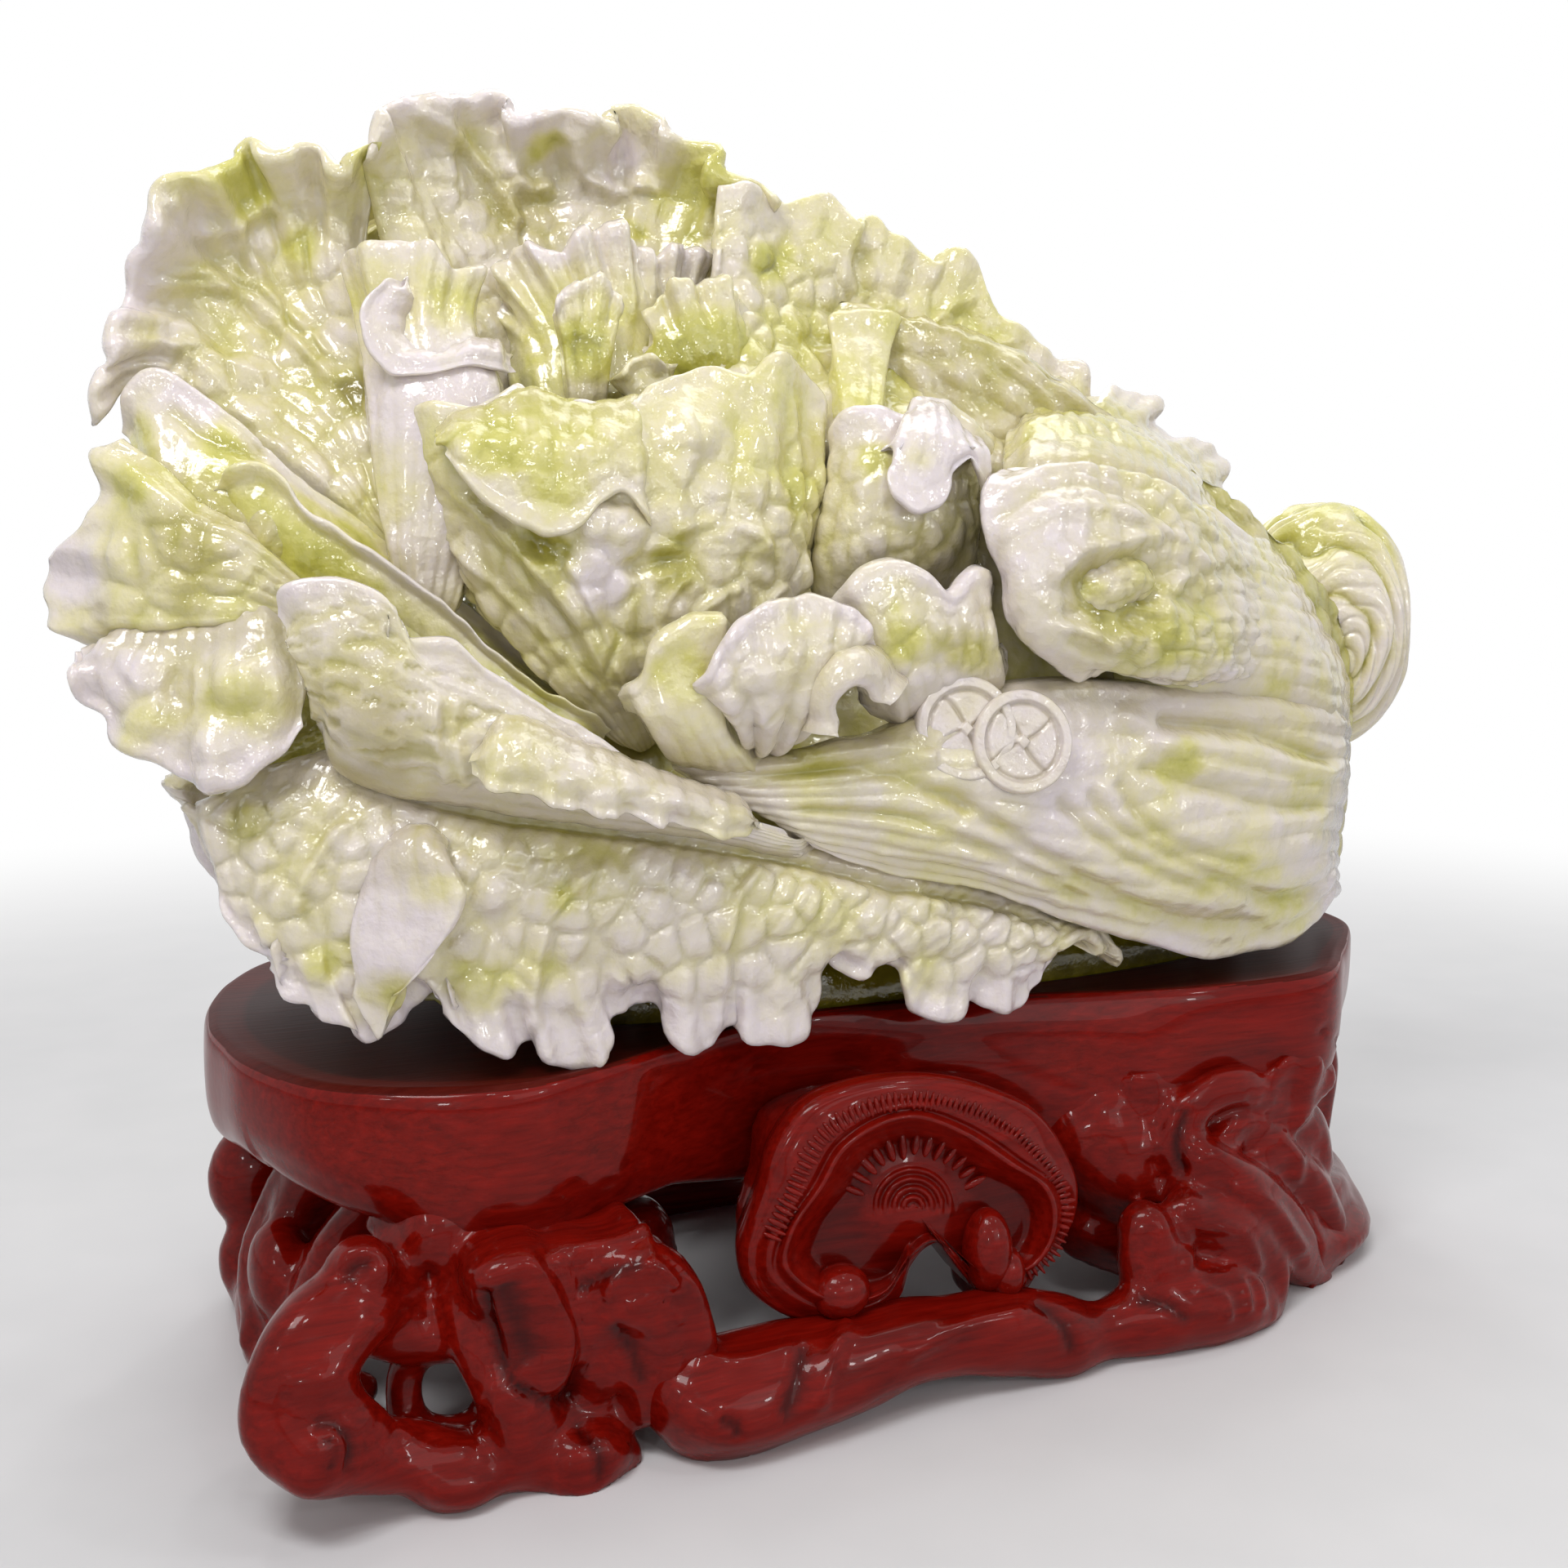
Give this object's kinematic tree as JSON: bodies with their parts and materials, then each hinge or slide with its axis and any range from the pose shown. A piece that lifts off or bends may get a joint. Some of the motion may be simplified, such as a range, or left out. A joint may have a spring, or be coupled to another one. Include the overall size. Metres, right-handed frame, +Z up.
{
  "type": "jade cabbage carving",
  "caption": "Cabbage lying on its side, carved in pale green and cream stone, that lifts off a red lacquered root-carved wooden stand.",
  "frame": {"origin": "middle of the stand's base, on the surface that it stands on", "axes": "+Z up, +X along the carving towards its stalk end, -Y towards the carved front with the fungus boss"},
  "size_m": [0.493, 0.2072, 0.4014],
  "materials": {
    "jade_pale": "polished",
    "jade_green": "polished",
    "jade_lilac": "polished",
    "lacquered_wood": "gloss"
  },
  "bodies": {
    "stand": {"stand_slab": "lacquered_wood", "fungus_cap": "lacquered_wood", "left_front_foot": "lacquered_wood", "left_front_tongue": "lacquered_wood", "front_strut": "lacquered_wood", "front_rail": "lacquered_wood", "fungus_stem": "lacquered_wood", "fungus_side_root": "lacquered_wood", "right_strut": "lacquered_wood", "right_front_foot": "lacquered_wood", "left_rear_foot": "lacquered_wood", "left_side_rail": "lacquered_wood", "left_side_root": "lacquered_wood", "right_rear_foot": "lacquered_wood", "right_side_rail": "lacquered_wood", "right_side_root": "lacquered_wood", "back_rail": "lacquered_wood", "back_left_root": "lacquered_wood", "back_right_root": "lacquered_wood"},
    "cabbage": {"back_crown_leaf": "jade_green", "back_left_leaf": "jade_pale", "back_lower_leaf": "jade_pale", "back_middle_leaf": "jade_pale", "back_ridge_leaf": "jade_pale", "back_right_leaf": "jade_pale", "back_rolled_leaf": "jade_pale", "back_stalk": "jade_lilac", "back_top_leaf": "jade_green", "coin_back": "jade_lilac", "coin_front": "jade_lilac", "front_centre_curl": "jade_green", "front_centre_leaf": "jade_pale", "front_lower_leaf": "jade_pale", "front_stalk": "jade_lilac", "heart_a": "jade_green", "heart_b": "jade_green", "heart_c": "jade_green", "heart_d": "jade_green", "heart_left": "jade_green", "heart_left_curl": "jade_lilac", "hem_fold": "jade_lilac", "inner_right_leaf": "jade_green", "leaf_e": "jade_pale", "leaf_f": "jade_pale", "leaf_g": "jade_pale", "leaf_roll": "jade_pale", "left_hem_leaf": "jade_green", "left_leaf_lip": "jade_green", "left_valley_leaf": "jade_green", "left_wing_leaf": "jade_green", "oval_bud": "jade_pale", "right_centre_curl": "jade_lilac", "right_centre_leaf": "jade_pale", "right_ridge_leaf": "jade_pale", "rolled_leaf": "jade_pale", "rolled_leaf_ruffle": "jade_green", "root_knot": "jade_pale", "small_curl": "jade_lilac", "stone_core": "jade_pale", "upper_stalk": "jade_pale"}
  },
  "joints": [
    {"name": "cabbage_lift", "type": "slide", "parent": "stand", "child": "cabbage", "axis": [0, 0, 1], "range_m": [0, 0.08]}
  ]
}
